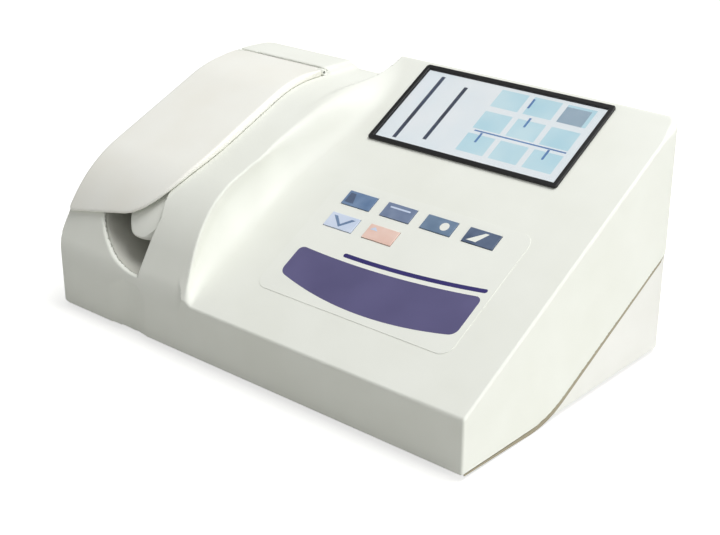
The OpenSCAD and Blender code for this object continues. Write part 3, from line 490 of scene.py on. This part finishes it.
@dataclass(frozen=True)
class CaseShape:
    """Fields of the case in millimetres, with the sizes of the part's source."""

    half_w: float = 198.0
    half_d: float = 120.0
    foot: float = 4.0
    front_h: float = 39.0
    panel_deg: float = 29.3
    wall: float = 3.0
    upright: float = 40.0
    lean_deg: float = 32.0
    rise: float = 66.4
    nose_r: float = 110.0
    slope_deg: float = 23.0
    slope_end: float = 150.0
    deck_r: float = 110.0
    front_r: float = 45.0
    tower_right: float = -48.0
    waist: tuple[float, float, float] = (79.0, -52.0, 145.0)
    lid_right: float = -100.0
    lid_left: float = -197.0
    lid_low: float = 0.3
    lid_high: float = 5.3
    lip_z: float = 81.0
    lip_deg: float = 10.0
    lip_r: float = 40.0
    hinge: tuple[float, float, float] = (83.0, 160.590, 2.45)
    step_y: float = 86.75
    seam_deg: float = 27.5
    seam_start: float = 92.0
    seam_bend: float = 90.0
    bowl_at: tuple[float, float, float] = (105.0, 117.0, 68.6)
    niche_right: float = 104.0
    niche_top: float = 101.0
    niche_back: float = 56.0
    liner_t: float = 2.5
    turret: tuple[float, float, float] = (120.0, 81.0, 19.4)
    mouth: tuple[float, float, float, float] = (-181.0, -106.0, -52.0, 74.0)
    barrel_x: tuple[float, float] = (-189.7, -107.3)
    slot: tuple[float, float, float, float] = (-178.5, -108.5, 85.5, 88.4)
    panel_holes: tuple[tuple[float, ...], ...] = ((65.5, 226.9, 82.3, 39.8), (71.0, 118.0, 69.0, 19.5))

    def tower(self, y: Array, z: Array) -> Array:
        """Distance to the tower's side outline: upright, leaning front, round, slope and level deck.

        Args:
            y: places along the depth.
            z: heights.

        Returns:
            The field.
        """
        deep, high = y + self.half_d, z - self.foot
        c, s = math.cos(math.radians(self.slope_deg)), math.sin(math.radians(self.slope_deg))
        lc, ls = math.cos(math.radians(self.lean_deg)), math.sin(math.radians(self.lean_deg))
        meet = self.nose_r * math.tan(math.radians(90 - self.slope_deg - self.lean_deg) / 2)
        end_y, end_z = self.rise * ls + meet * c, self.upright + self.rise * lc + meet * s
        nose_y, nose_z = end_y + self.nose_r * s, end_z - self.nose_r * c
        deck_y = self.slope_end + self.deck_r * s
        deck_z = end_z + (self.slope_end - end_y) * s / c - self.deck_r * c
        bend_z = self.upright - self.front_r * math.tan(math.radians(self.lean_deg) / 2)
        lean = (high - self.upright) * ls - deep * lc
        bend = np.hypot(deep - self.front_r, high - bend_z) - self.front_r
        above = (deep - self.front_r) * ls + (high - bend_z) * lc > 0
        front = np.where(high < bend_z, -deep, np.where(above, lean, bend))
        nose = np.hypot(deep - nose_y, high - nose_z) - self.nose_r
        slope = (high - end_z) * c - (deep - end_y) * s
        deck = np.where(deep < deck_y, np.hypot(deep - deck_y, high - deck_z) - self.deck_r,
                        high - deck_z - self.deck_r)
        return np.where((deep - nose_y) * ls + (high - nose_z) * lc < 0, front,
                        np.where((deep - nose_y) * c + (high - nose_z) * s < 0, nose,
                                 np.where((deep - deck_y) * c + (high - deck_z) * s < 0, slope, deck)))

    def panel(self, y: Array, z: Array) -> Array:
        """Height above the sloping panel.

        Args:
            y: places along the depth.
            z: heights.

        Returns:
            The field.
        """
        tilt = math.radians(self.panel_deg)
        return (z - self.foot - self.front_h) * math.cos(tilt) - (y + self.half_d) * math.sin(tilt)

    def along(self, y: Array, z: Array) -> Array:
        """Way up the panel from its front edge.

        Args:
            y: places along the depth.
            z: heights.

        Returns:
            The way in millimetres.
        """
        tilt = math.radians(self.panel_deg)
        return (y + self.half_d) * math.cos(tilt) + (z - self.foot - self.front_h) * math.sin(tilt)

    def on_panel(self, x: Array, s: Array, n: Array) -> Array:
        """Turns panel places into the CAD frame.

        Args:
            x: places across.
            s: ways up the panel.
            n: heights above it.

        Returns:
            Points.
        """
        c, t = math.cos(math.radians(self.panel_deg)), math.sin(math.radians(self.panel_deg))
        return np.stack(np.broadcast_arrays(x, s * c - n * t - self.half_d,
                                            s * t + n * c + self.foot + self.front_h), -1)

    def plan(self, x: Array, y: Array) -> Array:
        """Distance to the case's outline from above, its corners of different radii.

        Args:
            x: places across.
            y: places along the depth.

        Returns:
            The field.
        """
        r = np.where(y > 0, 10.0, np.where(x < 0, 14.0, 1.6))
        dx, dy = np.abs(x) - self.half_w + r, np.abs(y) - self.half_d + r
        return np.hypot(np.maximum(dx, 0), np.maximum(dy, 0)) + np.minimum(np.maximum(dx, dy), 0) - r

    def top(self, x: Array, y: Array, z: Array) -> tuple[Array, Array]:
        """Upper form without its upright walls: tower with its waisted flank, panel, raised deck.

        Args:
            x: places across.
            y: places along the depth.
            z: heights.

        Returns:
            Field of the outside, and of the same form with a plain inner corner for the inside.
        """
        deep = y + self.half_d
        tower = self.tower(y, z)
        panel = self.panel(y, z)
        cx, cy, cr = self.waist
        waist = cr - np.hypot(x - cx, y - cy)
        flank = round_both(x - self.tower_right, waist, 0.5 + 29 * ramp(60, 120, deep))
        hump = round_both(tower, flank, 1.5 + 12 * ramp(85, 165, deep))
        top = round_union(hump, np.maximum(panel, -flank - 0.5), 9 + 13 * ramp(0, 60, deep))
        step = round_both(round_both(tower - self.lid_high, self.step_y - y, 0.8), x - self.lid_right, 5)
        reach = 0.5 + 9 * ramp(-4, -12, tower)
        return (round_union(top, step, 0.4 + 8 * ramp(-104, -97, x)),
                np.minimum(hump, np.maximum(panel, -flank - reach)))

    def edge(self, x: Array, y: Array) -> Array:
        """Radius of the edge where the upper form meets the upright walls.

        Args:
            x: places across.
            y: places along the depth.

        Returns:
            The radius.
        """
        return 0.05 + 1.1 * ramp(-55, -45, x) + 0.7 * ramp(120, 190, x) + 3 * ramp(95, 112, y)

    def seam(self, y: Array, z: Array) -> Array:
        """Height below the joint line of the two housings: level in front, then rising to the back.

        Args:
            y: places along the depth.
            z: heights.

        Returns:
            The field, negative above the line.
        """
        rise, start, bend = math.radians(self.seam_deg), self.seam_start, self.seam_bend
        deep = y + self.half_d
        reach = bend * math.tan(rise / 2)
        first, last = start - reach, start + reach * math.cos(rise)
        arc = bend - np.sqrt(np.maximum(bend ** 2 - np.clip(deep - first, 0, last - first) ** 2, 0))
        line = arc + np.maximum(deep - last, 0) * math.tan(rise)
        return (line + self.foot - z) * np.where(deep > first, math.cos(rise), 1.0)

    def niche(self, x: Array, y: Array, z: Array) -> Array:
        """Distance to the sampling niche under the lid's lip.

        Args:
            x: places across.
            y: places along the depth.
            z: heights.

        Returns:
            The field.
        """
        right = x + self.niche_right + 7 * ramp(84, 102, z)
        depth = np.maximum(z - self.niche_top, y + self.niche_back)
        return np.maximum(np.maximum(self.bowl(x, z), right), depth)

    def bowl(self, x: Array, z: Array) -> Array:
        """Distance to the round wall of the niche.

        Args:
            x: places across.
            z: heights.

        Returns:
            The field.
        """
        cx, cz, cr = self.bowl_at
        return np.hypot(x + cx, z - cz) - cr

    def liner(self, x: Array, y: Array, z: Array) -> Array:
        """Distance to the niche's liner: thin walls behind the housing, open for turret, tube and plate.

        Args:
            x: places across.
            y: places along the depth.
            z: heights.

        Returns:
            The field.
        """
        tx, ty, tr = self.turret
        depth = np.maximum(z - self.niche_top, y + self.niche_back)
        room = np.maximum(np.maximum(self.bowl(x, z), x + 90), depth)
        walls = np.maximum(room - self.liner_t, -room)
        walls = np.maximum(walls, self.tower(y, z) + self.wall + 0.15)
        turret = np.maximum(np.hypot(x + tx, y + ty) - tr, 90 - z)
        tube = np.maximum(np.hypot(x + tx, z - 86) - 1.9, -y - 70)
        stem = np.maximum(np.maximum(np.abs(x + 100) - 4.5, np.abs(z - 73.5) - 7.5), -y - 66)
        return np.maximum(walls, -np.minimum(np.minimum(turret, tube), stem))

    def housing(self, x: Array, y: Array, z: Array) -> Array:
        """Distance to the upper housing's shell with all its openings.

        Args:
            x: places across.
            y: places along the depth.
            z: heights.

        Returns:
            The field.
        """
        top, bare = self.top(x, y, z)
        plan, edge = self.plan(x, y), self.edge(x, y)
        dent = 1.8 * ramp(-136, -112, x) * ramp(-92, -108, x) * ramp(52, 40, z)
        outer = np.maximum(round_both(top, plan, edge), dent - y - self.half_d)
        inner = round_both(bare + self.wall, plan + self.wall, np.maximum(edge - self.wall, 0.5))
        rim = round_both(outer, -self.niche(x, y, z), 1.2)
        x0, x1, y0, y1 = self.mouth
        mouth = np.maximum(slab(x, x0, x1), np.maximum(slab(y, y0, y1), 64 - z))
        rim = round_both(rim, -mouth, 1.5)
        shell = np.maximum(rim, -inner)
        hy, hz, hr = self.hinge
        ears = np.minimum(slab(x, -197, -190), slab(x, -107, -100))
        ears = np.maximum(ears, np.minimum(np.hypot(y - hy, z - hz) - hr,
                                           np.maximum(slab(y, hy, 88), slab(z, 157, hz))))
        shell = np.minimum(shell, ears)
        x0, x1, y0, y1 = self.slot
        slot = np.maximum(slab(x, x0, x1), np.maximum(slab(y, y0, y1), 145 - z))
        shell = np.maximum(shell, -slot)
        s, n = self.along(y, z), self.panel(y, z)
        depth = slab(n, -8, 3)
        for cx, cs, hw, hs in self.panel_holes:
            hole = np.maximum(np.maximum(np.abs(x - cx) - hw, np.abs(s - cs) - hs), depth)
            shell = np.maximum(shell, -hole)
        return round_both(shell, self.seam(y, z), 0.5)

    def lid(self, x: Array, y: Array, z: Array) -> Array:
        """Distance to the lid: a slab that follows the tower, with a rounded lip and a hinge barrel.

        Args:
            x: places across.
            y: places along the depth.
            z: heights.

        Returns:
            The field.
        """
        n = self.tower(y, z)
        hy, hz, hr = self.hinge
        tilt = math.radians(self.lip_deg)
        middle = (self.lid_left + self.lid_right) / 2
        lip = (self.lip_z - z) * math.cos(tilt) + (x - middle) * math.sin(tilt)
        side = round_both(x - self.lid_right, lip, self.lip_r)
        side = round_both(side, self.lid_left - x, 5.0)
        side = np.maximum(np.maximum(side, y - hy), self.plan(x, y) + 0.5)
        proud = self.lid_high - 2.4 * ramp(-50, 0, lip)
        top = round_both(n - proud, side, 2.4 + 1.8 * ramp(0, -50, lip) - 3.4 * ramp(60, 82, y))
        body = round_both(top, self.lid_low - n, 0.8)
        body = np.maximum(body, np.minimum(slab(x, *self.barrel_x), y - hy + hr + 0.6))
        barrel = np.maximum(np.hypot(y - hy, z - hz) - hr, slab(x, *self.barrel_x))
        return np.minimum(body, barrel)


# ---------------------------------------------------------------- sub-assemblies

def rounded_ring(width: float, height: float, r: float, steps: int = 6) -> Array:
    """Outline of a rectangle with round corners, centred on 0.

    Args:
        width: size across.
        height: size upward.
        r: corner radius.
        steps: parts of each corner.

    Returns:
        Points round it.
    """
    made = []
    for quarter, (sx, sy) in enumerate(((1, 1), (-1, 1), (-1, -1), (1, -1))):
        for angle in np.linspace(0, math.pi / 2, steps + 1) + quarter * math.pi / 2:
            made.append((sx * (width / 2 - r) + r * math.cos(angle),
                         sy * (height / 2 - r) + r * math.sin(angle)))
    return np.array(made)


def stack_rings(rings: Sequence[Array]) -> tuple[Array, list[list[int]]]:
    """Skins a stack of rings of equal count and closes both ends.

    Args:
        rings: points of each ring, from the lowest.

    Returns:
        Points and faces.
    """
    count = len(rings[0])
    faces = [list(range(count))[::-1], [count * (len(rings) - 1) + i for i in range(count)]]
    for level in range(len(rings) - 1):
        for i in range(count):
            j = (i + 1) % count
            a, b = level * count, (level + 1) * count
            faces.append([a + i, a + j, b + j, b + i])
    return np.concatenate(rings), faces


@dataclass
class Shells:
    """Upper housing and lid, whose double curves the CAD draws with plain edges."""

    shape: CaseShape
    deck_z: float = 153.79

    def build(self) -> None:
        """Draws both skins and the short line in front of the paper slot."""
        grid = Skin(stations((-200, -184, 1.6), (-184, -152, 2.4), (-152, -44, 1.4), (-44, -20, 2.4),
                             (-20, -12, 1.0), (-12, -2, 3.4), (-2, 6, 1.0), (6, 136, 8.0), (136, 152, 1.0),
                             (152, 186, 7.0), (186, 199.5, 1.0)),
                    stations((-121.5, -112, 0.9), (-112, -52, 1.4), (-52, 78, 2.2), (78, 90, 0.8),
                             (90, 108, 2.2), (108, 121.5, 1.1)),
                    stations((2, 44, 1.6), (44, 104, 1.3), (104, 180, 1.45)))
        points, faces, normals = grid.draw(self.shape.housing)
        make_piece("housing_skin", points, faces, [CASE_ABS], "chassis", ["upper_housing"],
                   normals)
        grid = Skin(stations((-198.5, -190, 0.9), (-190, -112, 2.4), (-112, -98.5, 0.8)),
                    stations((-125, -60, 1.1), (-60, 70, 2.4), (70, 87, 0.7)),
                    stations((68, 120, 1.0), (120, 166, 1.2)))
        points, faces, normals = grid.draw(self.shape.lid)
        make_piece("lid_skin", points, faces, [LID_ABS], "lid", ["lid"], normals)
        middle, deck = (self.shape.lid_left + self.shape.lid_right) / 2, self.deck_z + self.shape.lid_high
        points, faces = stack_rings([np.array([(middle + 5 + side, y, z) for side, y in
                                               ((-0.55, 71.5), (0.55, 71.5), (0.8, 81.6), (-0.8, 81.6))])
                                     for z in (deck - 0.2, deck + 0.04)])
        make_piece("lid_line", points, faces, [SEAM_TPE_AND_SHADE], "lid")


@dataclass
class Display:
    """Screen with its black frame, cover glass and lit picture."""

    shape: CaseShape
    centre: tuple[float, float] = (65.5, 226.9)
    glass: tuple[float, float] = (164.0, 79.0)
    window: tuple[float, float] = (160.4, 75.4)

    def build(self) -> None:
        """Makes the picture and the cover glass and dresses the frame."""
        cx, cs = self.centre
        rings = []
        for inset, n in ((0.2, -1.0), (0.0, -0.8), (0.0, 0.3), (0.2, 0.5)):
            ring = rounded_ring(self.glass[0] - 2 * inset, self.glass[1] - 2 * inset, 1.5)
            rings.append(self.shape.on_panel(ring[:, 0] + cx, ring[:, 1] + cs, np.full(len(ring), n)))
        points, faces = stack_rings(rings)
        make_piece("cover_glass", points, faces, [COVER_GLASS], "chassis", ["touch_glass"])
        self.picture()
        dress("screen_bezel", BLACK_SATIN, 0.6)
        dress("lcd_module", LCD_CASE)

    def picture(self) -> None:
        """Lays plain blocks of lit colour under the glass, as a chart page with no words."""
        width, height = self.window
        inks = [SCREEN_WHITE, SCREEN_CYAN, SCREEN_BLUE, SCREEN_DARK, SCREEN_GREY]
        blocks = [(0.0, 0.0, 1.0, 1.0, 0), (0.09, 0.05, 0.112, 0.95, 3), (0.245, 0.12, 0.266, 0.88, 3)]
        blocks += [(0.44 + 0.18 * c, 0.1 + 0.31 * r, 0.59 + 0.18 * c, 0.34 + 0.31 * r, 1)
                   for c in range(3) for r in range(3)]
        blocks += [(0.46, 0.375, 0.95, 0.392, 2), (0.8, 0.72, 0.93, 0.93, 4)]
        blocks += [(u, v, u + 0.012, v + 0.13, 2)
                   for u, v in ((0.5, 0.24), (0.67, 0.56), (0.86, 0.24), (0.62, 0.8))]
        points, faces, picks = [], [], []
        for level, (u0, v0, u1, v1, ink) in enumerate(blocks):
            xs = self.centre[0] + width * (np.array((u0, u1, u1, u0)) - 0.5)
            ss = self.centre[1] + height * (np.array((v0, v0, v1, v1)) - 0.5)
            step = 0 if level == 0 else 0.03 if ink == 1 else 0.06
            faces.append([len(points) + i for i in range(4)])
            points.extend(self.shape.on_panel(xs, ss, np.full(4, -1.2 + step)))
            picks.append(ink)
        make_piece("screen_picture", np.array(points), faces, inks, "chassis", picks=picks)


KEY_ROWS = (129.0, 107.0)


@dataclass
class Keypad:
    """Printed membrane with six embossed keys."""

    shape: CaseShape
    film_top: float = 0.3
    ink_high: float = 0.05
    key_top: float = 0.9

    def build(self) -> None:
        """Lays the violet field and the stripe on the film and dresses film and keys."""
        dress("keypad_overlay", FILM_WHITE_AND_GLINT, 0.12)
        ease = (1 - np.cos(np.linspace(0, math.pi, 61))) / 2
        xs = 1 + 154 * ease
        low = 42 + 11 * ((xs - 78) / 78) ** 2
        high = 77 + 9 * ((xs - 45) / 110) ** 2
        self.band("violet_field", xs, low, high, 5.0, FILM_VIOLET)
        xs = 38 + 117 * ease
        high = 80.5 + 9 * ((xs - 45) / 110) ** 2
        self.band("indigo_stripe", xs, high, high + 3.4, 1.6, FILM_INDIGO)
        for number, ink in enumerate(KEY_INKS, 1):
            dress(f"key_{number}", ink, 0.6)
        # Key 3's white round spot is a painted highlight: a glint laid on the key as white film.
        highlight_disc = tuple((5 + 3.6 * math.cos(a), 3.6 * math.sin(a)) for a in np.linspace(0, 5.8, 17))
        for number, ink, ring in (
                (1, KEY_INKS[3], ((-11, -4.5), (-3, -4.5), (-6, 4.5), (-11, 4.5))),
                (2, KEY_INKS[4], ((-9, 2.2), (9, 2.2), (9, 3.6), (-9, 3.6))),
                (3, FILM_WHITE_AND_GLINT, highlight_disc),
                (4, FILM_WHITE_AND_GLINT, ((-10, -4.5), (-2, -4.5), (4, 4.5), (1, 4.5))),
                (5, KEY_INKS[0], ((-10, 4.2), (-6.5, 4.2), (0, -2.2), (6.5, 4.2), (10, 4.2), (0, -4.8))),
                (6, KEY_INKS[4], ((-11, 1.6), (-4, 1.6), (-7.5, 4.6)))):
            self.mark(number, ink, np.array(ring))

    def mark(self, number: int, finish: Finish, ring: Array) -> None:
        """Lays a small plain shape on a key: a printed mark, and on key 3 a painted highlight.

        Args:
            number: the key's number.
            finish: its ink.
            ring: outline from the key's middle, turned left.
        """
        low, high = (np.array(side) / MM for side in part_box(f"key_{number}"))
        x0 = (low[0] + high[0]) / 2
        s0 = KEY_ROWS[0 if number < 5 else 1]
        across, up = ring[:, 0] + x0, ring[:, 1] + s0
        points, faces = stack_rings([self.shape.on_panel(across, up, np.full(len(ring), n))
                                     for n in (self.key_top - 0.02, self.key_top + 0.03)])
        make_piece(f"key_{number}_mark", points, faces, [finish], f"key_{number}")

    def band(self, name: str, xs: Array, low: Array, high: Array, corner: float, finish: Finish) -> None:
        """Lays a printed band with rounded corners on the film.

        Args:
            name: the piece's name.
            xs: places across, close together near the ends.
            low: lower edge at each place.
            high: upper edge at each place.
            corner: radius of the corners.
            finish: its ink.
        """
        near = np.clip(np.minimum(xs - xs[0], xs[-1] - xs), 0, corner)
        cut = (corner - np.sqrt(corner ** 2 - (corner - near) ** 2)) * 0.98
        low, high = low + cut, high - cut
        count = len(xs)
        ring = np.concatenate([np.stack([xs, low], 1), np.stack([xs, high], 1)[::-1]])
        points = np.concatenate([self.shape.on_panel(ring[:, 0], ring[:, 1], np.full(2 * count, n))
                                 for n in (self.film_top, self.film_top + self.ink_high)])
        faces = [[i, i + 1, 2 * count - 2 - i, 2 * count - 1 - i] for i in range(count - 1)]
        top = [[2 * count + i for i in f] for f in faces]
        walls = [[i, (i + 1) % (2 * count), 2 * count + (i + 1) % (2 * count), 2 * count + i]
                 for i in range(2 * count)]
        make_piece(name, points, [f[::-1] for f in faces] + top + walls, [finish], "chassis")


@dataclass
class SampleNiche:
    """Niche under the lid's lip with its turret, probe and trigger plate."""

    shape: CaseShape

    def build(self) -> None:
        """Draws the liner and dresses the niche's other parts."""
        # The liner's grey is painted shade for the recess; the trigger plate below takes the same grey.
        grid = Skin(stations((-178, -86, 1.3)), stations((-118, -52, 1.2)), stations((44, 105, 1.2)))
        points, faces, normals = grid.draw(self.shape.liner)
        make_piece("niche_bowl", points, faces, [NICHE_SHADE_GREY_ABS], "chassis", ["niche_liner"],
                   normals)
        dress("probe_turret", CASE_ABS, 0.4)
        dress("aspiration_probe hinge_pins", DRAWN_STEEL, 0.1)
        dress("aspirate_plate", NICHE_SHADE_GREY_ABS, 0.5)
        dress("aspirate_switch", BLACK_MATT)


@dataclass
class BaseAndRear:
    """Lower housing, joint strip, feet and the rear panel's fittings."""

    shape: CaseShape
    band_x: tuple[float, float] = (196.85, 197.6)
    band_wide: tuple[float, float] = (4.0, 2.3)

    def build(self) -> None:
        """Dresses the lower and rear parts and lays tan bands, partly painted shadow, along the joint on
        both sides.
        """
        # The bands are the tan joint strip with painted shadow: the shade in the gap under the upper
        # housing's edge is painted in with them. They are widened to that shade's width and run forward
        # along the housing's lower edge, where there is only the shadow line.
        for name, turn, start in (("joint_strip_and_shade_right", 1, -117), ("joint_strip_and_shade_left", -1, -103)):
            ys = np.linspace(start, 108, 90)
            steep = math.cos(math.radians(self.shape.seam_deg))
            zs = self.shape.seam(ys, np.zeros_like(ys)) / np.where(ys > -50, steep, 1.0)
            wide = np.interp(ys, (-117, -60, -25, 108), (1.2, 2.6, *self.band_wide))
            rings = [np.array([(turn * x, y, z - drop) for x, drop in
                               ((self.band_x[0], 0.2), (self.band_x[1], 0.2), (self.band_x[1], 0.2 + w),
                                (self.band_x[0], 0.2 + w))])[::turn] for y, z, w in zip(ys, zs, wide)]
            points, faces = stack_rings(rings)
            make_piece(name, points, faces, [SEAM_TPE_AND_SHADE], "chassis")
        dress("base_tray", BASE_ABS, 0.6)
        dress("seam_strip", SEAM_TPE_AND_SHADE, 0.3)
        dress("feet", FOOT_RUBBER, 0.6)
        dress("case_screws", DRAWN_STEEL, 0.2)
        dress("rear_panel", POWDER_COAT, 0.3)
        dress("mains_inlet switch_frame power_rocker fan_frame fan_rotor", BLACK_MATT, 0.3)
        dress("serial_port data_port", SHEET_STEEL, 0.2)
        dress("waste_fitting", ACETAL, 0.3)


@dataclass
class Innards:
    """Optics, pump, printer and boards inside."""

    def build(self) -> None:
        """Dresses the inner parts."""
        for names, finish in (
                ("keypad_board main_board detector_board", SOLDER_MASK),
                ("power_supply printer_frame", SHEET_STEEL),
                ("optics_bed lamp_housing cell_holder filter_wheel", ANODISED),
                ("lamp condenser_lens flow_cell", OPTIC_GLASS),
                ("filters", FILTER_GLASS),
                ("wheel_motor pump_motor", PLATED_CAN),
                ("pump_head pump_rollers", ACETAL),
                ("pump_rotor print_head", BLACK_MATT),
                ("probe_tube cell_tube waste_tube", SILICONE),
                ("platen_roller", RUBBER),
                ("paper_spindle", ACETAL),
                ("paper_roll", PAPER)):
            dress(names, finish, 0.0 if "tube" in names else 0.2)


@dataclass
class Studio:
    """White sweep, soft key light from above and behind, paler room on the right."""

    eye: tuple[float, float, float] = (0.62907, -0.70828, 0.45975)
    turn_deg: tuple[float, float, float] = (66.463, 0.0, 41.131)
    lens: float = 69.496
    fill: float = 0.41
    fill_lean: float = 0.16
    key_watts: float = 31.0
    side_watts: float = 3.2
    floor_glow: float = 0.66

    def build(self) -> None:
        """Sets up floor, world, lamps and camera."""
        scene = bpy.context.scene
        scene.view_settings.view_transform = "Standard"
        self.floor()
        world = bpy.data.worlds.new("studio")
        world.use_nodes = True
        tree = world.node_tree
        path = add_node(tree, "ShaderNodeLightPath")
        way = add_node(tree, "ShaderNodeTexCoord")
        split = add_node(tree, "ShaderNodeSeparateXYZ", {}, {"Vector": way.outputs["Generated"]})
        room = add_node(tree, "ShaderNodeMapRange", {"From Min": -1.0, "To Min": self.fill - self.fill_lean,
                                                     "To Max": self.fill + self.fill_lean},
                        {"Value": split.outputs["X"]})
        level = add_node(tree, "ShaderNodeMapRange", {"To Max": 1.0},
                         {"Value": path.outputs["Is Camera Ray"], "To Min": room.outputs["Result"]})
        tree.nodes["Background"].inputs["Color"].default_value = (1, 1, 1, 1)
        tree.links.new(level.outputs["Result"], tree.nodes["Background"].inputs["Strength"])
        scene.world = world
        self.lamp("key", (0.4, 0.5, 1.9), 1.2, self.key_watts)
        self.lamp("side", (1.0, -0.05, 0.1), 0.4, self.side_watts)
        camera = bpy.data.objects.new("camera", bpy.data.cameras.new("camera"))
        scene.collection.objects.link(camera)
        camera.location = self.eye
        camera.rotation_euler = [math.radians(a) for a in self.turn_deg]
        camera.data.lens = self.lens
        camera.data.sensor_width = 36.0
        camera.data.clip_start = 0.05
        scene.camera = camera

    def lamp(self, name: str, place: tuple[float, float, float], size: float, watts: float) -> None:
        """Hangs a square soft lamp turned to the object.

        Args:
            name: the lamp's name.
            place: where it hangs, in metres.
            size: side of the square in metres.
            watts: its power.
        """
        data = bpy.data.lights.new(name, "AREA")
        data.size = size
        data.energy = watts
        made = bpy.data.objects.new(name, data)
        bpy.context.scene.collection.objects.link(made)
        made.location = place
        made.visible_camera = False
        gaze = made.location.copy()
        gaze.z -= 0.08
        made.rotation_euler = gaze.to_track_quat("Z", "Y").to_euler()

    def floor(self) -> None:
        """Lays a pale floor that reads as white and keeps a faint shadow."""
        mesh = bpy.data.meshes.new("floor")
        mesh.from_pydata([(-6, -6, 0), (6, -6, 0), (6, 6, 0), (-6, 6, 0)], [], [(0, 1, 2, 3)])
        made = bpy.data.objects.new("floor", mesh)
        bpy.context.scene.collection.objects.link(made)
        paint = bpy.data.materials.new("paper sweep pale")
        paint.use_nodes = True
        tree = paint.node_tree
        shader = tree.nodes["Principled BSDF"]
        shader.inputs["Base Color"].default_value = linear("#c8c8c4")
        shader.inputs["Roughness"].default_value = 0.9
        path = add_node(tree, "ShaderNodeLightPath")
        glow = add_node(tree, "ShaderNodeMapRange", {"To Max": self.floor_glow},
                        {"Value": path.outputs["Is Camera Ray"]})
        shader.inputs["Emission Color"].default_value = (1, 1, 1, 1)
        tree.links.new(glow.outputs["Result"], shader.inputs["Emission Strength"])
        mesh.materials.append(paint)


def main() -> None:
    """Builds the object and its studio in order."""
    logging.basicConfig(level=logging.INFO, format="%(message)s")
    shape = CaseShape()
    for part in (Shells(shape), Display(shape), Keypad(shape), SampleNiche(shape), BaseAndRear(shape),
                 Innards(), Studio()):
        LOG.info("building %s", type(part).__name__)
        part.build()
    bpy.context.view_layer.update()


if __name__ == "__main__":
    main()
